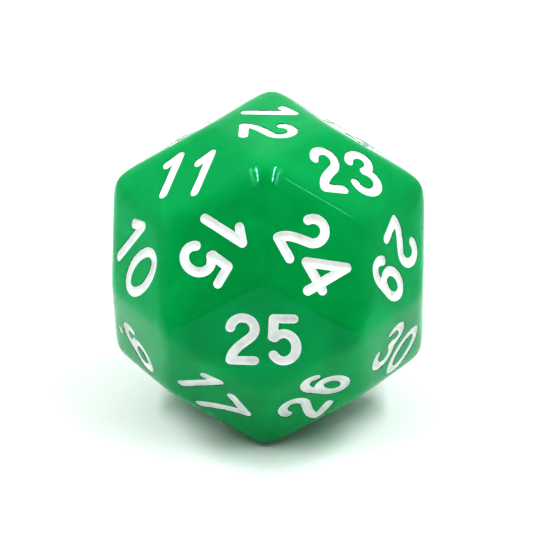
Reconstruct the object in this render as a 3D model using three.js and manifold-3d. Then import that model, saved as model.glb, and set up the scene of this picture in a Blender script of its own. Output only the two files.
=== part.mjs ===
// Thirty-sided die: a rhombic triacontahedron with rounded edges and corners, numbered 1 to 30.
// Millimetres, +Z up. The die rests on the face numbered 19 with 12 on top, and the origin is the
// centre of the resting face. Opposite faces add up to 31.
import * as THREE from "three";
import { ConvexGeometry } from "three/addons/geometries/ConvexGeometry.js";
import { mergeVertices } from "three/addons/utils/BufferGeometryUtils.js";
import Module from "manifold-3d";

const wasm = await Module();
wasm.setup();

// ---------------------------------------------------------------- driving dimensions, mm
const ACROSS_FACES = 33; // between opposite faces
const ROUNDING = 3.8; // radius of the worn edges and corners
const ROUNDING_STEPS = 3; // facets across a rounded edge

const DIGIT_HEIGHT = 6.1; // over the ends of the strokes
const DIGIT_PITCH = 4.5; // between the centres of the two digits of a number
const STROKE = 1.2; // width of an engraved stroke
const DEPTH = 0.5; // depth of the engraving
const CURVE_PIECE = 1.05; // length of the straight pieces that a curved stroke is made of
const END_FACETS = 4; // facets round the end of a stroke
const SHARP_BEND = 60; // degrees; a sharper bend of a stroke is rounded on its outside

const PAINT_CLEARANCE = 0.05; // between the paint and the plastic
const PAINT_SUNK = 0.15; // the paint stops this far below the face

const PLASTIC = { color: 0x0aa653, roughness: 0.18, metalness: 0 };
const PAINT = { color: 0xf2f2ee, roughness: 0.5, metalness: 0 };

// ---------------------------------------------------------------- faces and numbers
const P = (1 + Math.sqrt(5)) / 2; // golden ratio
const Q = 1 / P;

// A face is given by its normal, and the corner at a blunt end of its rhombus that the tops of the
// digits point to, both for a solid whose faces lie P from its centre. `shift` moves the number
// to the right and up from the centre of its face.
const LOWER = { shift: [0, -0.2] };
const NUMBERS = [
  { value: 12, normal: [0, 0, 1], top: [Q, 0, P], shift: [-1.25, -0.05], pitch: 5.2, height: 6.3 },
  { value: 11, normal: [-1, -Q, P], top: [-Q, 0, P], shift: [-0.6, -0.25], pitch: 4.2, height: 6.3 },
  { value: 23, normal: [1, -Q, P], top: [Q, 0, P], shift: [0, 0.35] },
  { value: 15, normal: [-Q, -P, 1], top: [0, -P, Q], shift: [-0.5, -0.35], pitch: 4.6 },
  { value: 24, normal: [Q, -P, 1], top: [1, -1, 1], shift: [0.1, -0.15], pitch: 4.1 },
  { value: 10, normal: [-P, -1, Q], top: [-1, -1, 1], shift: [-0.5, -0.5], pitch: 4.6, height: 6.5 },
  { value: 29, normal: [P, -1, Q], top: [P, -Q, 0], shift: [0, 0.25] },
  { value: 25, normal: [0, -1, 0], top: [0, -P, Q], shift: [0, -0.4], pitch: 4.4 },
  { value: 9, normal: [-P, -1, -Q], top: [-1, -1, -1], shift: [1.5, 0.4], height: 6.3 },
  { value: 30, normal: [P, -1, -Q], top: [P, -Q, 0], shift: [1.15, -0.1], pitch: 4.7 },
  { value: 17, normal: [-Q, -P, -1], top: [0, -P, -Q], shift: [0, -0.9], pitch: 4.7 },
  { value: 26, normal: [Q, -P, -1], top: [0, -P, -Q], shift: [-0.4, -0.4] },
  { value: 13, normal: [1, Q, P], top: [1, 1, 1], ...LOWER },
  { value: 27, normal: [-1, Q, P], top: [-1, 1, 1], ...LOWER },
  { value: 28, normal: [1, 0, 0], top: [P, -Q, 0], ...LOWER },
];

// The face opposite each of those holds the number that makes 31, turned the same way.
const negated = (vector) => vector.map((component) => -component);
const OPPOSITE = NUMBERS.map(({ value, normal, top }) => ({
  value: 31 - value,
  normal: negated(normal),
  top: negated(top),
  ...LOWER,
}));
const FACES = [...NUMBERS, ...OPPOSITE].map((face) => ({
  ...face,
  normal: new THREE.Vector3(...face.normal).normalize(),
  top: new THREE.Vector3(...face.top),
}));

// ---------------------------------------------------------------- digits
const turn = THREE.MathUtils.degToRad;
const path = (x, y) => new THREE.Path().moveTo(x, y);
const arc = (x, y, rx, ry, from, to) =>
  new THREE.Path().absellipse(x, y, rx, ry, turn(from), turn(to), to < from);
const LINE_TOP = 2.4; // the centrelines below run this far above and below the middle of a digit

// Centrelines of the strokes of each digit. A path with no curves is a dot.
const GLYPHS = {
  0: [arc(0, 0, 1.48, LINE_TOP, 0, 360)],
  1: [path(-0.57, 1.3).lineTo(0.57, LINE_TOP).lineTo(0.57, -LINE_TOP)],
  2: [
    arc(0, 1.16, 1.23, 1.24, 175, -48)
      .bezierCurveTo(0.1, -0.43, -1.1, -1.15, -1.23, -LINE_TOP)
      .lineTo(1.17, -LINE_TOP),
  ],
  3: [arc(-0.05, 1.33, 1.2, 1.07, 175, -75), arc(0, -1.05, 1.42, 1.35, 60, -170)],
  4: [path(0.95, -LINE_TOP).lineTo(0.95, LINE_TOP).lineTo(-1.63, -1.03).lineTo(1.68, -1.03)],
  5: [
    path(0.91, LINE_TOP).lineTo(-1.08, LINE_TOP).lineTo(-1.2, 0.32),
    arc(-0.07, -0.84, 1.28, 1.56, 138, -145),
  ],
  6: [arc(0, 0.9, 1.2, 1.5, 35, 180).absellipse(0, -0.9, 1.2, 1.5, turn(180), turn(500))],
  7: [
    path(-1.5, LINE_TOP)
      .lineTo(1.5, LINE_TOP)
      .lineTo(0.82, 1.28)
      .quadraticCurveTo(-0.11, -0.45, -0.45, -LINE_TOP),
  ],
  8: [arc(0, 1.32, 1.12, 1.08, 0, 360), arc(0, -1.17, 1.38, 1.23, 0, 360)],
  9: [arc(0, -0.9, 1.2, 1.5, 215, 360).absellipse(0, 0.9, 1.2, 1.5, 0, turn(320))],
  dot: [path(0, 0)],
};
const DOT_OFFSET = [2.85, -LINE_TOP]; // from the digit's centre, to tell 6 from 9

// ---------------------------------------------------------------- solids
function solidOf(geometry) {
  const bare = geometry.clone();
  bare.deleteAttribute("normal");
  bare.deleteAttribute("uv");
  const merged = mergeVertices(bare);
  return new wasm.Manifold(
    new wasm.Mesh({
      numProp: 3,
      vertProperties: merged.attributes.position.array,
      triVerts: new Uint32Array(merged.index.array),
    }),
  );
}

function geometryOf(solid) {
  const { vertProperties, triVerts } = solid.getMesh();
  const indexed = new THREE.BufferGeometry()
    .setAttribute("position", new THREE.BufferAttribute(vertProperties, 3))
    .setIndex(new THREE.BufferAttribute(triVerts, 1));
  const geometry = indexed.toNonIndexed();
  geometry.computeVertexNormals();
  return geometry;
}

// The corners of the sharp solid are where three or five neighbouring faces meet.
function sharpCorners() {
  const corners = [];
  for (const s of [-1, 1]) {
    for (const t of [-1, 1]) {
      corners.push([0, s, t * P], [s, t * P, 0], [t * P, 0, s]);
      corners.push([s * Q, 0, t * P], [0, t * P, s * Q], [t * P, s * Q, 0]);
      corners.push([s, t, 1], [s, t, -1]);
    }
  }
  return corners.map((corner) => new THREE.Vector3(...corner));
}

// Directions that cover the ball at one corner: triangles from the corner's own direction to each
// pair of neighbouring face normals, split evenly.
function cornerDirections(corner) {
  const normals = FACES.map((face) => face.normal).filter((n) => n.dot(corner) > P - 1e-6);
  const outward = corner.clone().normalize();
  const neighbours = Math.cos(turn(40));
  const directions = [];
  normals.forEach((a, i) =>
    normals.slice(i + 1).forEach((b) => {
      if (a.dot(b) < neighbours) return;
      for (let j = 0; j <= ROUNDING_STEPS; j++) {
        for (let k = 0; j + k <= ROUNDING_STEPS; k++) {
          const direction = outward.clone().multiplyScalar(ROUNDING_STEPS - j - k);
          directions.push(direction.addScaledVector(a, j).addScaledVector(b, k).normalize());
        }
      }
    }),
  );
  return directions;
}

function roundedBody() {
  const toBallCentre = (ACROSS_FACES / 2 - ROUNDING) / P;
  const surface = sharpCorners().flatMap((corner) => {
    const centre = corner.clone().multiplyScalar(toBallCentre);
    return cornerDirections(corner).map((d) => centre.clone().addScaledVector(d, ROUNDING));
  });
  return solidOf(new ConvexGeometry(surface));
}

// Points along a centreline: the ends of its straight parts, and evenly spaced ones on its curves.
function samples(stroke) {
  const points = [stroke.curves.length ? stroke.curves[0].getPoint(0) : stroke.currentPoint];
  for (const curve of stroke.curves) {
    const count = curve.isLineCurve ? 1 : Math.ceil(curve.getLength() / CURVE_PIECE);
    points.push(...curve.getPoints(count).slice(1));
  }
  return points;
}

const leftOf = (heading) => new THREE.Vector2(-heading.y, heading.x);

// Points on an arc round `centre`, which starts at centre + arm.
function rim(centre, arm, sweep) {
  const facets = Math.ceil((END_FACETS * Math.abs(sweep)) / Math.PI - 1e-6);
  return Array.from({ length: facets + 1 }, (_, i) =>
    centre.clone().add(arm).rotateAround(centre, (sweep * i) / facets),
  );
}

// A stroke as convex outlines that meet edge to edge: one for each straight piece, with rounded
// ends, and a wedge that rounds the outside of each sharp bend.
function strokeOutlines(points, halfWidth) {
  if (points.length === 1) return [rim(points[0], new THREE.Vector2(halfWidth, 0), 2 * Math.PI)];

  const headings = points.slice(1).map((point, i) => point.clone().sub(points[i]).normalize());
  const last = headings.length;
  const closed = points[0].distanceTo(points[last]) < 1e-6;
  if (closed) points[last] = points[0];

  const joints = points.map((_, i) => {
    const before = headings[i - 1] ?? (closed ? headings[last - 1] : null);
    const after = headings[i] ?? (closed ? headings[0] : null);
    if (!before || !after) return null;
    const bend = Math.atan2(before.cross(after), before.dot(after));
    const mitre = leftOf(before).add(leftOf(after)).normalize();
    mitre.multiplyScalar(halfWidth / mitre.dot(leftOf(after)));
    return { bend, mitre, sharp: Math.abs(bend) > turn(SHARP_BEND) };
  });

  // Where the piece on a heading ends at a joint: along the mitre, or at a sharp bend from the
  // inner end of the mitre to the point itself and square out from there.
  const outer = (i, heading) =>
    leftOf(heading).multiplyScalar(-Math.sign(joints[i].bend) * halfWidth).add(points[i]);
  const jointEdge = (i, heading) => {
    const { bend, mitre, sharp } = joints[i];
    const onMitre = (side) => points[i].clone().addScaledVector(mitre, side);
    if (!sharp) return [onMitre(1), onMitre(-1)];
    return [onMitre(Math.sign(bend)), points[i], outer(i, heading)];
  };
  const roundEnd = (i, heading, sweep) =>
    rim(points[i], leftOf(heading).multiplyScalar(halfWidth), sweep);

  const outlines = headings.map((heading, i) => [
    ...(joints[i] ? jointEdge(i, heading) : roundEnd(i, heading, Math.PI)),
    ...(joints[i + 1] ? jointEdge(i + 1, heading) : roundEnd(i + 1, heading, -Math.PI)),
  ]);
  joints.forEach((joint, i) => {
    if (!joint?.sharp) return;
    const [from, to] = [outer(i, headings[i - 1]), outer(i, headings[i])];
    const round = rim(points[i], from.clone().sub(points[i]), joint.bend).slice(1, -1);
    outlines.push([points[i], from, ...round, to]);
  });
  return outlines;
}

// A digit as a solid between two heights above the face.
function glyphSolid(glyph, scale, floor, roof, halfWidth) {
  const prism = (outline) =>
    solidOf(
      new ConvexGeometry(
        [floor, roof].flatMap((z) => outline.map(({ x, y }) => new THREE.Vector3(x, y, z))),
      ),
    );
  const join = (joined, piece) => joined.add(piece);
  return GLYPHS[glyph]
    .map((stroke) => samples(stroke).map((point) => point.clone().multiplyScalar(scale)))
    .map((points) => strokeOutlines(points, halfWidth).map(prism).reduce(join))
    .reduce(join);
}

// ---------------------------------------------------------------- numbers on faces
function characters({ value, pitch = DIGIT_PITCH }) {
  const tens = Math.floor(value / 10);
  const units = { name: "units", glyph: value % 10, offset: [tens ? pitch / 2 : 0, 0] };
  if (tens) return [{ name: "tens", glyph: tens, offset: [-pitch / 2, 0] }, units];
  if (value === 6 || value === 9) return [units, { name: "dot", glyph: "dot", offset: DOT_OFFSET }];
  return [units];
}

// From a digit's own axes (right, up, out of the face) to the die's.
function placement({ normal, top, shift }, offset) {
  const centre = normal.clone().multiplyScalar(P);
  const up = top.clone().sub(centre).normalize();
  const right = up.clone().cross(normal);
  const position = normal
    .clone()
    .multiplyScalar(ACROSS_FACES / 2)
    .addScaledVector(right, shift[0] + offset[0])
    .addScaledVector(up, shift[1] + offset[1]);
  return new THREE.Matrix4().makeBasis(right, up, normal).setPosition(position);
}

const die = new THREE.Group();
die.name = "thirty_sided_die";
let body = roundedBody();
for (const face of FACES) {
  const scale = ((face.height ?? DIGIT_HEIGHT) - STROKE) / (2 * LINE_TOP);
  for (const { name, glyph, offset } of characters(face)) {
    const placed = placement(face, offset);
    const engraving = glyphSolid(glyph, scale, -DEPTH, DEPTH, STROKE / 2);
    body = body.subtract(solidOf(geometryOf(engraving).applyMatrix4(placed)));

    const paintFloor = PAINT_CLEARANCE - DEPTH;
    const paintHalfWidth = STROKE / 2 - PAINT_CLEARANCE;
    const fill = glyphSolid(glyph, scale, paintFloor, -PAINT_SUNK, paintHalfWidth);
    const paint = new THREE.Mesh(geometryOf(fill), new THREE.MeshStandardMaterial(PAINT));
    paint.name = `number_${String(face.value).padStart(2, "0")}_${name}`;
    paint.applyMatrix4(placed);
    die.add(paint);
  }
}
const plastic = new THREE.Mesh(geometryOf(body), new THREE.MeshStandardMaterial(PLASTIC));
plastic.name = "die_body";
die.add(plastic);
die.position.z = ACROSS_FACES / 2;

export default die;
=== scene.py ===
"""A thirty-sided die of glossy green plastic, with white paint in its engraved numbers."""

import math

import bmesh
import bpy
import numpy as np
from mathutils import Matrix, Vector


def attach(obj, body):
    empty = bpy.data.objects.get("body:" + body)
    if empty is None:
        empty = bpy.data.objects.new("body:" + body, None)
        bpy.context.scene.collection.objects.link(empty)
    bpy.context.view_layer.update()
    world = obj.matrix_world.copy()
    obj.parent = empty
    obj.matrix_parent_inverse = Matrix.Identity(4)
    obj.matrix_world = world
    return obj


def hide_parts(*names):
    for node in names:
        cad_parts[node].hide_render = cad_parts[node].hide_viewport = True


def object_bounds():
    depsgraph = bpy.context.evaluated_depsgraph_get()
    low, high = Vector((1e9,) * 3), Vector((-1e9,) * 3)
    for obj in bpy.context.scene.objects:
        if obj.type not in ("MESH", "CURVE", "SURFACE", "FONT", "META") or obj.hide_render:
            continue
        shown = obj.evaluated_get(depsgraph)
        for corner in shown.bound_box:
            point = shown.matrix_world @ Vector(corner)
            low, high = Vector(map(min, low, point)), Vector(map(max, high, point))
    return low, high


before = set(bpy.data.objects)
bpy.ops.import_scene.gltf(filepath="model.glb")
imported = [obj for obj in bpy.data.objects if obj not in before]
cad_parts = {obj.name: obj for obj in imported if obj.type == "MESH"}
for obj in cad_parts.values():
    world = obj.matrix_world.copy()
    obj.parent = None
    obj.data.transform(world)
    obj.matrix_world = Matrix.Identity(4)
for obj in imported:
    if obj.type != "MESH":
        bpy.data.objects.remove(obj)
cad_low, cad_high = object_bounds()

MM = 0.001
GOLDEN = (1 + math.sqrt(5)) / 2

# ---------------------------------------------------------------- the die's driving dimensions
CENTRE = (cad_low + cad_high) / 2
INRADIUS = (cad_high.z - cad_low.z) / 2  # from the die's centre to a face
SHARPNESS = 50  # exponent of the rounding: a higher one gives sharper edges
PATCH_STEPS = 28  # quads along each side of a face
PATCH_CROWDING = 0.75  # how far the quads crowd towards the rounded edges, from 0 to 1
SAME_POINT = 0.001 * MM  # vertices of a new mesh nearer to each other than this are made one
SLIVER = 0.0005 * MM  # the same for a mesh that has been cut

STROKE_RADIUS = 0.55 * MM  # of the ball-nosed cutter that engraved the strokes
STROKE_LIFT = 0.08 * MM  # from the face up to the cutter's centre
STEP = 0.25 * MM  # between the stations along a stroke
RIM_ROUND = 0.035 * MM  # how deep the softened rim of a groove reaches
BALL_STEPS = 7  # facets from the bottom of a groove to its rim
CAP_STEPS = 6  # facets round a quarter of a stroke's end
ROOF = 0.5 * MM  # the cutters stop this far above the face
HOLLOW_ABOVE = 0.1 * MM  # the cutter that hollows the paint stops this much higher

PAINT_GAP = 0.004 * MM  # between the paint and the plastic
PAINT_FEATHER = 0.045 * MM  # the paint thins out to nothing this far below the face
PAINT_THICKNESS = 0.08 * MM  # of the paint at the bottom of a groove
PAINT_WAVER = 0.02  # how much the width of the hollow in the paint varies, as a share of it
CAD_PAINT_WIDTH = 1.10 * MM  # of a painted stroke in the CAD model

# ---------------------------------------------------------------- faces
# Directions in a solid whose faces lie GOLDEN from its centre: the normal of a face, and the
# corner at a blunt end of its rhombus that the tops of the digits point to.
P, Q = GOLDEN, 1 / GOLDEN
FACE_AXES = {
    12: ((0, 0, 1), (Q, 0, P)),
    11: ((-1, -Q, P), (-Q, 0, P)),
    23: ((1, -Q, P), (Q, 0, P)),
    15: ((-Q, -P, 1), (0, -P, Q)),
    24: ((Q, -P, 1), (1, -1, 1)),
    10: ((-P, -1, Q), (-1, -1, 1)),
    29: ((P, -1, Q), (P, -Q, 0)),
    25: ((0, -1, 0), (0, -P, Q)),
    9: ((-P, -1, -Q), (-1, -1, -1)),
    30: ((P, -1, -Q), (P, -Q, 0)),
    17: ((-Q, -P, -1), (0, -P, -Q)),
    26: ((Q, -P, -1), (0, -P, -Q)),
    13: ((1, Q, P), (1, 1, 1)),
    27: ((-1, Q, P), (-1, 1, 1)),
    28: ((1, 0, 0), (P, -Q, 0)),
}
OPPOSITE_SUM = 31  # of the numbers on two opposite faces


def face_frame(value):
    """The unit vectors right, up and out of the face that bears this number."""
    sign = 1 if value in FACE_AXES else -1
    normal, top = FACE_AXES[value if sign > 0 else OPPOSITE_SUM - value]
    out = sign * Vector(normal).normalized()
    up = (sign * Vector(top) - GOLDEN * out).normalized()
    return up.cross(out), up, out


NUMBERS = sorted([*FACE_AXES, *(OPPOSITE_SUM - value for value in FACE_AXES)])
NORMALS = np.array([face_frame(value)[2] for value in NUMBERS])


def on_surface(points):
    """The points, given from the die's centre, moved along their rays onto the rounded solid."""
    rays = points / np.linalg.norm(points, axis=1, keepdims=True)
    reach = np.maximum(rays @ NORMALS.T, 0)
    radius = INRADIUS * (reach**SHARPNESS).sum(axis=1) ** (-1 / SHARPNESS)
    return rays * radius[:, None] + np.array(CENTRE)


# ---------------------------------------------------------------- meshes
def mesh_object(name, vertices, faces):
    """An object of a mesh that is welded where its vertices meet, with its faces outwards."""
    mesh = bpy.data.meshes.new(name)
    mesh.from_pydata(vertices, [], faces)
    welded = bmesh.new()
    welded.from_mesh(mesh)
    bmesh.ops.remove_doubles(welded, verts=welded.verts, dist=SAME_POINT)
    bmesh.ops.recalc_face_normals(welded, faces=welded.faces)
    welded.to_mesh(mesh)
    welded.free()
    obj = bpy.data.objects.new(name, mesh)
    bpy.context.scene.collection.objects.link(obj)
    return obj


def boolean(target, tool, operation):
    """Cuts the tool from the target, joins it on, or keeps only what lies in both."""
    modifier = target.modifiers.new("boolean", "BOOLEAN")
    modifier.operation = operation
    modifier.solver = "MANIFOLD"
    modifier.object = tool
    depsgraph = bpy.context.evaluated_depsgraph_get()
    result = bpy.data.meshes.new_from_object(target.evaluated_get(depsgraph))
    target.modifiers.remove(modifier)
    old = target.data
    target.data = result
    bpy.data.meshes.remove(old)


def weld_slivers(obj):
    """Closes up the slivers that cutting leaves where two surfaces nearly touch."""
    mesh = bmesh.new()
    mesh.from_mesh(obj.data)
    bmesh.ops.remove_doubles(mesh, verts=mesh.verts, dist=SLIVER)
    bmesh.ops.dissolve_degenerate(mesh, edges=mesh.edges, dist=SLIVER)
    mesh.to_mesh(obj.data)
    mesh.free()


def drop_folds(obj):
    """Takes out the triangles that lie back to back on the same three vertices."""
    mesh = bmesh.new()
    mesh.from_mesh(obj.data)
    bmesh.ops.triangulate(mesh, faces=mesh.faces)
    folded = {}
    for face in mesh.faces:
        folded.setdefault(frozenset(face.verts), []).append(face)
    stray = [face for faces in folded.values() if len(faces) > 1 for face in faces]
    bmesh.ops.delete(mesh, geom=stray, context="FACES")
    mesh.to_mesh(obj.data)
    mesh.free()


def discard(obj):
    mesh = obj.data
    bpy.data.objects.remove(obj)
    bpy.data.meshes.remove(mesh)


def rounded_solid(name):
    """The die with no numbers: a patch of quads for each face, crowded towards its edges."""
    even = np.linspace(-1, 1, PATCH_STEPS + 1)
    crowded = np.sin(even * math.pi / 2)
    steps = even + PATCH_CROWDING * (crowded - even)
    s, t = np.meshgrid(steps, steps, indexing="ij")
    row = PATCH_STEPS + 1
    vertices, faces = [], []
    for value in NUMBERS:
        right, up, out = (np.array(axis) for axis in face_frame(value))
        long_way = (s + t)[..., None] / 2 * right
        short_way = (s - t)[..., None] / 2 * up / GOLDEN
        patch = (GOLDEN * out + long_way + short_way).reshape(-1, 3)
        first = len(vertices)
        vertices.extend(on_surface(patch).tolist())
        for i in range(PATCH_STEPS):
            for j in range(PATCH_STEPS):
                a = first + i * row + j
                faces.append((a, a + 1, a + row + 1, a + row))
    return mesh_object(name, vertices, faces)


# ---------------------------------------------------------------- centrelines of the digits
def arc(x, y, rx, ry, start, end, steps=48):
    angles = np.radians(np.linspace(start, end, steps + 1))
    return np.stack([x + rx * np.cos(angles), y + ry * np.sin(angles)], axis=1)


def line(*points):
    return np.array(points, float)


def bezier(*controls, steps=24):
    """Points on the Bezier curve of any degree through the first and the last control."""
    controls = np.array(controls, float)
    t = np.linspace(0, 1, steps + 1)[:, None]
    degree = len(controls) - 1
    return sum(
        math.comb(degree, k) * t**k * (1 - t) ** (degree - k) * control
        for k, control in enumerate(controls)
    )


def follow(*curves):
    """Curves that join end to end as one."""
    return np.concatenate([curves[0], *(curve[1:] for curve in curves[1:])])


TWO_NECK = arc(0, 1.16, 1.23, 1.24, 175, -48)
LINE_TOP = 2.4  # the centrelines run this far, in mm, above and below the middle of a digit
GLYPHS = {
    "0": [arc(0, 0, 1.48, LINE_TOP, 0, 360)],
    "1": [line((-0.57, 1.3), (0.57, LINE_TOP)), line((0.57, LINE_TOP), (0.57, -LINE_TOP))],
    "2": [
        follow(TWO_NECK, bezier(TWO_NECK[-1], (0.1, -0.43), (-1.1, -1.15), (-1.23, -LINE_TOP))),
        line((-1.23, -LINE_TOP), (1.17, -LINE_TOP)),
    ],
    "3": [arc(-0.05, 1.33, 1.2, 1.07, 175, -75), arc(0, -1.05, 1.42, 1.35, 60, -170)],
    "4": [
        line((0.95, -LINE_TOP), (0.95, LINE_TOP)),
        line((0.95, LINE_TOP), (-1.63, -1.03)),
        line((-1.63, -1.03), (1.68, -1.03)),
    ],
    "5": [
        line((0.91, LINE_TOP), (-1.08, LINE_TOP)),
        line((-1.08, LINE_TOP), (-1.2, 0.32)),
        arc(-0.07, -0.84, 1.28, 1.56, 138, -145),
    ],
    "6": [
        follow(arc(0, 0.9, 1.2, 1.5, 35, 180), line((-1.2, 0.9), (-1.2, -0.9))),
        arc(0, -0.9, 1.2, 1.5, 0, 360),
    ],
    "7": [
        line((-1.5, LINE_TOP), (1.5, LINE_TOP)),
        bezier((1.5, LINE_TOP), (0, 0.2), (-0.45, -LINE_TOP)),
    ],
    "8": [arc(0, 1.32, 1.12, 1.08, 0, 360), arc(0, -1.17, 1.38, 1.23, 0, 360)],
    "9": [
        follow(arc(0, -0.9, 1.2, 1.5, 215, 360), line((1.2, -0.9), (1.2, 0.9))),
        arc(0, 0.9, 1.2, 1.5, 0, 360),
    ],
    "dot": [line((0, 0))],
}


def stations(stroke, scale):
    """The stroke in metres, with points STEP apart, and whether it closes."""
    points = stroke * scale
    if len(points) == 1:
        return points, False
    closed = np.allclose(points[0], points[-1])
    lengths = np.linalg.norm(np.diff(points, axis=0), axis=1)
    along = np.concatenate([[0], np.cumsum(lengths)])
    count = max(2, round(along[-1] / STEP))
    even = np.linspace(0, along[-1], count + 1)
    spaced = np.stack([np.interp(even, along, points[:, k]) for k in (0, 1)], axis=1)
    return (spaced[:-1] if closed else spaced), closed


def waver(points):
    """A share of the width, different along a stroke, that makes a hand-wiped edge."""
    x, y = points.T / MM
    return PAINT_WAVER * (np.sin(5.3 * x + 2.1 * y) + np.sin(9.7 * y - 4.3 * x + 1)) / 2


def sweep(points, closed, profile, widths):
    """Rings of a half profile (out, height) that is swept both sides of the points, in the
    plane of a face, and turned round the ends of an open stroke."""
    if len(points) == 1:
        headings = np.array([[1.0, 0.0]])
    elif closed:
        headings = np.roll(points, -1, axis=0) - np.roll(points, 1, axis=0)
    else:
        headings = np.gradient(points, axis=0)
    headings /= np.linalg.norm(headings, axis=1, keepdims=True)
    stops = [(*stop, 0.0) for stop in zip(points, headings, widths)]
    if not closed:
        swings = np.linspace(math.pi / 2, 0, CAP_STEPS, endpoint=False)
        start = [(points[0], headings[0], widths[0], -swing) for swing in swings]
        end = [(points[-1], headings[-1], widths[-1], swing) for swing in swings[::-1]]
        stops = start + stops + end

    rings = []
    for (x, y), (hx, hy), width, swing in stops:
        ring = []
        for side in (1, -1):
            # The side's outward direction, swung towards the heading at the end of a stroke.
            out_x = -hy * side * math.cos(swing) + hx * math.sin(swing)
            out_y = hx * side * math.cos(swing) + hy * math.sin(swing)
            half = [
                (x + out_x * out * width, y + out_y * out * width, height)
                for out, height in profile
            ]
            ring += half if side > 0 else half[::-1][1:-1]
        rings.append(ring)
    return rings


def ring_faces(rings, closed):
    """Quads between neighbouring rings, whose vertices are listed ring by ring."""
    size = len(rings[0])
    count = len(rings)
    faces = []
    for i in range(count if closed else count - 1):
        a, b = i * size, (i + 1) % count * size
        for j in range(size):
            k = (j + 1) % size
            faces.append((a + j, a + k, b + k, b + j))
    return faces


def ball_profile(radius, lift, to_height):
    """Half of a ball-nosed cutter, from its tip up to a height."""
    top = math.asin((min(to_height, lift) - lift) / radius)
    angles = np.linspace(-math.pi / 2, top, BALL_STEPS + 1)
    return [(radius * math.cos(a), lift + radius * math.sin(a)) for a in angles]


def groove_profile():
    """The cutter and, above it, the soft rim that tumbling leaves on an engraved stroke."""
    ball = ball_profile(STROKE_RADIUS, STROKE_LIFT, -RIM_ROUND)
    edge = STROKE_RADIUS
    soft = [(edge, -0.4 * RIM_ROUND), (edge + 0.3 * RIM_ROUND, -0.1 * RIM_ROUND)]
    outside = edge + 0.9 * RIM_ROUND
    return ball + soft + [(outside, 0.3 * RIM_ROUND), (outside, ROOF), (0, ROOF)]


def paint_profiles():
    """What the paint fills, and the hollow above it that leaves only a coat."""
    radius = STROKE_RADIUS - PAINT_GAP
    fill = ball_profile(radius, STROKE_LIFT, STROKE_LIFT) + [(radius, ROOF), (0, ROOF)]

    # The hollow passes through the feathered edge and clears the bottom by the coat's thickness.
    edge_out = math.sqrt(radius**2 - (STROKE_LIFT + PAINT_FEATHER) ** 2)
    tip = STROKE_LIFT - radius + PAINT_THICKNESS
    lift = (edge_out**2 + PAINT_FEATHER**2 - tip**2) / (-2 * (tip + PAINT_FEATHER))
    wide = lift - tip
    top = ROOF + HOLLOW_ABOVE
    hollow = ball_profile(wide, lift, lift) + [(wide, top), (0, top)]
    return fill, hollow


# ---------------------------------------------------------------- digits on faces
class Digit:
    """One painted digit: its CAD node, and its strokes placed where that node is."""

    def __init__(self, node):
        self.node = node
        _, number, part = node.split("_")
        tens, units = number
        self.glyph = {"tens": tens, "units": units, "dot": "dot"}[part]
        self.layer = 0 if part == "units" else 1
        self.strokes = GLYPHS[self.glyph]

        right, up, out = face_frame(int(number))
        corners = np.array([v.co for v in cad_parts[node].data.vertices]) - np.array(CENTRE)
        across, along = corners @ np.array(right), corners @ np.array(up)
        drawn = np.concatenate(self.strokes)
        drawn_height = np.ptp(drawn[:, 1])
        tall = np.ptp(along) - CAD_PAINT_WIDTH
        self.scale = tall / drawn_height if drawn_height else MM
        middle = (drawn.max(axis=0) + drawn.min(axis=0)) / 2 * self.scale
        x = float(across.max() + across.min()) / 2 - float(middle[0])
        y = float(along.max() + along.min()) / 2 - float(middle[1])
        origin = CENTRE + INRADIUS * out + x * right + y * up
        self.placed = Matrix.Translation(origin) @ Matrix((right, up, out)).transposed().to_4x4()

    def cutter(self, index, profile, uneven=False):
        """Vertices and faces of one stroke swept with a profile, in the row frame."""
        points, closed = stations(self.strokes[index], self.scale)
        widths = 1 + (waver(points) if uneven else 0 * points[:, 0])
        rings = sweep(points, closed, profile, widths)
        vertices = [tuple(self.placed @ Vector(point)) for ring in rings for point in ring]
        return vertices, ring_faces(rings, closed)


DIGITS = [Digit(node) for node in sorted(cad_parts) if node.startswith("number_")]


def engrave(body):
    """Cuts every stroke from the body, in batches of strokes that don't touch each other. The
    cut surfaces get the body's second material."""
    profile = groove_profile()
    for layer in (0, 1):
        for index in range(max(len(digit.strokes) for digit in DIGITS)):
            vertices, faces = [], []
            for digit in DIGITS:
                if digit.layer != layer or index >= len(digit.strokes):
                    continue
                more, quads = digit.cutter(index, profile)
                faces += [tuple(v + len(vertices) for v in quad) for quad in quads]
                vertices += more
            tool = mesh_object("cutters", vertices, faces)
            for material in body.data.materials:
                tool.data.materials.append(material)
            tool.data.polygons.foreach_set("material_index", [1] * len(tool.data.polygons))
            boolean(body, tool, "DIFFERENCE")
            discard(tool)


def painted(digit, sunk):
    """The coat of paint in one digit."""
    fill, hollow = paint_profiles()
    paint = mesh_object("paint_" + digit.node.removeprefix("number_"), *digit.cutter(0, fill))
    for index in range(1, len(digit.strokes)):
        tool = mesh_object("tool", *digit.cutter(index, fill))
        boolean(paint, tool, "UNION")
        discard(tool)
    for index in range(len(digit.strokes)):
        tool = mesh_object("tool", *digit.cutter(index, hollow, uneven=True))
        boolean(paint, tool, "DIFFERENCE")
        discard(tool)
    boolean(paint, sunk, "INTERSECT")
    return paint


def smooth(obj, sharp_above):
    obj.data.shade_smooth()
    obj.data.set_sharp_from_angle(angle=math.radians(sharp_above))


# ---------------------------------------------------------------- materials
RUBBED = (17.0 * MM, 17.5 * MM)  # wear starts, and is full, this far from the die's centre
HAIRLINE = 0.02  # half of the share of the noise's range that a fine scratch takes up


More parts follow.
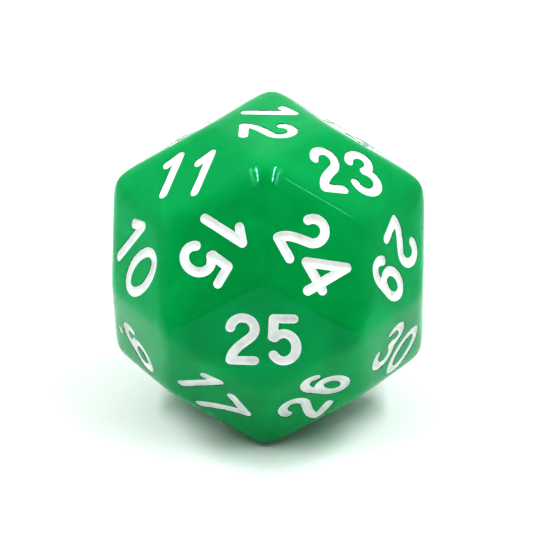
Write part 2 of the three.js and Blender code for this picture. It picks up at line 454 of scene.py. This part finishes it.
class Shader:
    """A material on a Principled shader, with short ways to add nodes."""

    def __init__(self, name):
        self.material = bpy.data.materials.new(name)
        self.material.use_nodes = True
        self.tree = self.material.node_tree
        self.principled = self.tree.nodes["Principled BSDF"]
        self.coordinates = self.node("ShaderNodeTexCoord").outputs["Object"]

    def node(self, kind, **settings):
        made = self.tree.nodes.new(kind)
        for key, value in settings.items():
            setattr(made, key, value)
        return made

    def link(self, output, target):
        self.tree.links.new(output, target)

    def noise(self, scale, detail=2.0, roughness=0.5, distortion=0.0, stretch=None):
        """Noise with features about 1/scale metres across, on the object's own coordinates."""
        made = self.node("ShaderNodeTexNoise")
        made.inputs["Scale"].default_value = scale
        made.inputs["Detail"].default_value = detail
        made.inputs["Roughness"].default_value = roughness
        made.inputs["Distortion"].default_value = distortion
        source = self.coordinates
        if stretch:
            mapping = self.node("ShaderNodeMapping")
            mapping.inputs["Rotation"].default_value = stretch[0]
            mapping.inputs["Scale"].default_value = stretch[1]
            self.link(source, mapping.inputs["Vector"])
            source = mapping.outputs["Vector"]
        self.link(source, made.inputs["Vector"])
        return made.outputs["Fac"]

    def ramp(self, factor, stops):
        """A colour for each position of the factor."""
        made = self.node("ShaderNodeValToRGB")
        elements = made.color_ramp.elements
        while len(elements) < len(stops):
            elements.new(0.5)
        for element, (position, colour) in zip(elements, stops):
            element.position = position
            element.color = (*colour, 1)
        self.link(factor, made.inputs["Fac"])
        return made.outputs["Color"]

    def spread(self, factor, low, high):
        """The factor's middle range, mapped to between low and high."""
        made = self.node("ShaderNodeMapRange")
        made.inputs["From Min"].default_value = 0.3
        made.inputs["From Max"].default_value = 0.7
        made.inputs["To Min"].default_value = low
        made.inputs["To Max"].default_value = high
        self.link(factor, made.inputs["Value"])
        return made.outputs["Result"]

    def combine(self, operation, first, second):
        """The result of a sum on two values, each an output or a number."""
        made = self.node("ShaderNodeMath", operation=operation)
        for socket, value in zip(made.inputs, (first, second)):
            if isinstance(value, float):
                socket.default_value = value
            else:
                self.link(value, socket)
        return made.outputs[0]

    def far_out(self, near, far):
        """From 0 to 1 between two distances from the die's centre."""
        away = self.node("ShaderNodeVectorMath", operation="DISTANCE")
        self.link(self.coordinates, away.inputs[0])
        away.inputs[1].default_value = CENTRE
        made = self.node("ShaderNodeMapRange", interpolation_type="SMOOTHSTEP")
        made.inputs["From Min"].default_value = near
        made.inputs["From Max"].default_value = far
        self.link(away.outputs["Value"], made.inputs["Value"])
        return made.outputs["Result"]

    def hairlines(self, scale):
        """1 along thin curved lines, and 0 between them."""
        noise = self.noise(scale, detail=1, distortion=1.5)
        off_line = self.combine("ABSOLUTE", self.combine("SUBTRACT", noise, 0.5), 0.0)
        return self.ramp(off_line, [(0.0, (1, 1, 1)), (HAIRLINE, (0, 0, 0))])

    def bump(self, height, distance, after=None):
        made = self.node("ShaderNodeBump")
        made.inputs["Strength"].default_value = 1
        made.inputs["Distance"].default_value = distance
        self.link(height, made.inputs["Height"])
        if after:
            self.link(after, made.inputs["Normal"])
        return made.outputs["Normal"]

    def set(self, **values):
        for key, value in values.items():
            self.principled.inputs[key.replace("_", " ")].default_value = value


def plastic():
    """Glossy cast plastic, a little translucent, with faint swirls of pigment and fine scuffs."""
    shader = Shader("green_plastic")
    swirl = shader.noise(110, detail=3, distortion=1.4)
    colour = shader.ramp(
        swirl,
        [
            (0.30, (0.0012, 0.290, 0.090)),
            (0.55, (0.0018, 0.325, 0.104)),
            (0.75, (0.0030, 0.360, 0.120)),
        ],
    )
    shader.link(colour, shader.principled.inputs["Base Color"])
    shader.set(
        IOR=1.40,
        Specular_Tint=(0.55, 0.90, 1.0, 1),
        Subsurface_Weight=0.35,
        Subsurface_Radius=(0.25, 1.0, 0.45),
        Subsurface_Scale=1.1 * MM,
    )
    wear = shader.noise(900, detail=4, roughness=0.65)
    shader.link(shader.spread(wear, 0.06, 0.12), shader.principled.inputs["Roughness"])
    rubbed = shader.combine("MULTIPLY", shader.far_out(*RUBBED), shader.hairlines(420))
    ripple = shader.bump(shader.noise(160, detail=1), 0.004 * MM)
    scuff = shader.bump(
        shader.noise(2500, detail=2, stretch=((0.4, 0.2, 0.7), (1, 0.06, 1))), 0.0006 * MM, ripple
    )
    shader.link(shader.bump(rubbed, 0.0012 * MM, scuff), shader.principled.inputs["Normal"])
    return shader.material


def shaded_cut_plastic():
    """The walls and the rim of the engraving: cut and not polished, with painted shade: a darker
    green that stands in for the shade in the grooves round the digits.
    """
    shader = Shader("painted_shade_cut_green_plastic")
    marks = shader.noise(3000, detail=2)
    # Painted shade: these darker greens stand in for the dark ring of shade along the grooves'
    # walls and rims.
    colour = shader.ramp(marks, [(0.3, (0.0005, 0.070, 0.018)), (0.7, (0.0010, 0.100, 0.026))])
    shader.link(colour, shader.principled.inputs["Base Color"])
    shader.set(IOR=1.45)
    shader.link(shader.spread(marks, 0.45, 0.65), shader.principled.inputs["Roughness"])
    shader.link(shader.bump(marks, 0.002 * MM), shader.principled.inputs["Normal"])
    return shader.material


def paint():
    """Satin white paint, wiped into the engraving: a little uneven."""
    shader = Shader("white_paint")
    mottle = shader.noise(700, detail=3)
    colour = shader.ramp(mottle, [(0.3, (0.66, 0.70, 0.68)), (0.6, (0.77, 0.80, 0.78))])
    shader.link(colour, shader.principled.inputs["Base Color"])
    shader.link(shader.spread(mottle, 0.38, 0.55), shader.principled.inputs["Roughness"])
    grain = shader.noise(5000, detail=3)
    brush = shader.bump(shader.noise(1500, detail=1), 0.02 * MM)
    shader.link(shader.bump(grain, 0.004 * MM, brush), shader.principled.inputs["Normal"])
    return shader.material


def floor_material():
    shader = Shader("studio_floor")
    tone = shader.noise(6, detail=2)
    colour = shader.ramp(tone, [(0.3, (0.81, 0.82, 0.82)), (0.7, (0.83, 0.84, 0.84))])
    shader.link(colour, shader.principled.inputs["Base Color"])
    shader.set(
        Roughness=0.9,
        Specular_IOR_Level=0.2,
        Emission_Color=(1, 1, 1, 1),
        Emission_Strength=0.03,
    )
    return shader.material


# ---------------------------------------------------------------- the die
green, shaded_cut_green, white = plastic(), shaded_cut_plastic(), paint()

sunk_body = rounded_solid("sunk_body")
sunk_scale = 1 - PAINT_FEATHER / INRADIUS
sunk_body.matrix_world = (
    Matrix.Translation(CENTRE) @ Matrix.Scale(sunk_scale, 4) @ Matrix.Translation(-CENTRE)
)
bpy.context.view_layer.update()

body = rounded_solid("body")
body.data.materials.append(green)
# The second material, on the cut surfaces, carries painted shade in its darker green.
body.data.materials.append(shaded_cut_green)
engrave(body)
weld_slivers(body)
smooth(body, 25)
weighted = body.modifiers.new("flat_faces", "WEIGHTED_NORMAL")
weighted.keep_sharp = True
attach(body, "root")
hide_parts("die_body")

for digit in DIGITS:
    coat = painted(digit, sunk_body)
    weld_slivers(coat)
    drop_folds(coat)
    smooth(coat, 40)
    coat.data.materials.clear()
    coat.data.materials.append(white)
    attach(coat, "root")
    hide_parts(digit.node)
discard(sunk_body)

# ---------------------------------------------------------------- floor, light and camera
FLOOR_SIZE = 3.0  # metres
half = FLOOR_SIZE / 2
floor_corners = [(-half, -half, 0), (half, -half, 0), (half, half, 0), (-half, half, 0)]
floor = mesh_object("floor", floor_corners, [(0, 1, 2, 3)])
floor.data.materials.append(floor_material())


def direction(azimuth, elevation):
    """Towards a place seen from the die: azimuth 0 is the viewer's side, 90 the right."""
    a, e = math.radians(azimuth), math.radians(elevation)
    return Vector((math.sin(a) * math.cos(e), -math.cos(a) * math.cos(e), math.sin(e)))


def softbox(name, towards, distance, size, power):
    """An area light in a direction from the die, its second side along the front-back way."""
    light = bpy.data.lights.new(name, "AREA")
    light.shape = "RECTANGLE"
    light.size, light.size_y = size
    light.energy = power
    obj = bpy.data.objects.new(name, light)
    bpy.context.scene.collection.objects.link(obj)
    out = towards.normalized()
    side = Vector((0, 1, 0)).cross(out).normalized()
    turned = Matrix((side, out.cross(side), out)).transposed().to_4x4()
    obj.matrix_world = Matrix.Translation(CENTRE + out * distance) @ turned


LAMP_DISTANCE = 0.50
STRIP_LENGTH = 0.55
STRIP_FORWARD = 0.06  # the strips' middles lie this far to the viewer's side of overhead
STRIPS = {  # tilt from overhead in degrees, width in metres, and power in watts
    "strip_left": (-34, 0.008, 0.95),
    "strip_right": (29, 0.009, 1.05),
    "strip_far_left": (-41, 0.015, 0.12),
    "strip_far_right": (36.5, 0.015, 0.18),
}
for name, (tilt, width, power) in STRIPS.items():
    tilt = math.radians(tilt)
    towards = Vector((math.sin(tilt), -STRIP_FORWARD / LAMP_DISTANCE, math.cos(tilt)))
    softbox(name, towards, LAMP_DISTANCE, (width, STRIP_LENGTH), power)
softbox("side_lamp", Vector((0.685, -0.09, 0.72)), LAMP_DISTANCE, (0.05, 0.03), 0.03)
softbox("overhead", Vector((0, 0, 1)), 0.9, (0.9, 0.9), 0.2)

world = bpy.data.worlds.new("studio")
bpy.context.scene.world = world
world.use_nodes = True
nodes, links = world.node_tree.nodes, world.node_tree.links
where = nodes.new("ShaderNodeTexCoord")
split = nodes.new("ShaderNodeSeparateXYZ")
links.new(where.outputs["Generated"], split.inputs["Vector"])
shade = nodes.new("ShaderNodeValToRGB")
stops = shade.color_ramp.elements
stops[0].position, stops[0].color = 0.18, (0.32, 0.32, 0.32, 1)
stops[1].position, stops[1].color = 0.55, (0.80, 0.80, 0.80, 1)
to_unit = nodes.new("ShaderNodeMapRange")
to_unit.inputs["From Min"].default_value = -1
links.new(split.outputs["Y"], to_unit.inputs["Value"])
links.new(to_unit.outputs["Result"], shade.inputs["Fac"])
links.new(shade.outputs["Color"], nodes["Background"].inputs["Color"])
nodes["Background"].inputs["Strength"].default_value = 0.66

CAMERA_AZIMUTH, CAMERA_ELEVATION = 2.0, 26.0  # degrees
CAMERA_DISTANCE = 0.51  # metres
LENS = 324  # focal length in mm
AIM = CENTRE - Vector((0.26 * MM, 0, 0))  # the die sits a little right of the picture's middle
camera_data = bpy.data.cameras.new("camera")
camera_data.lens = LENS
camera_data.clip_start = 0.01
camera = bpy.data.objects.new("camera", camera_data)
bpy.context.scene.collection.objects.link(camera)
back = direction(CAMERA_AZIMUTH, CAMERA_ELEVATION)
camera.location = AIM + back * CAMERA_DISTANCE
camera.rotation_mode = "QUATERNION"
camera.rotation_quaternion = (-back).to_track_quat("-Z", "Y")
bpy.context.scene.camera = camera

bpy.context.scene.view_settings.view_transform = "Standard"
bpy.context.scene.view_settings.look = "Very High Contrast"
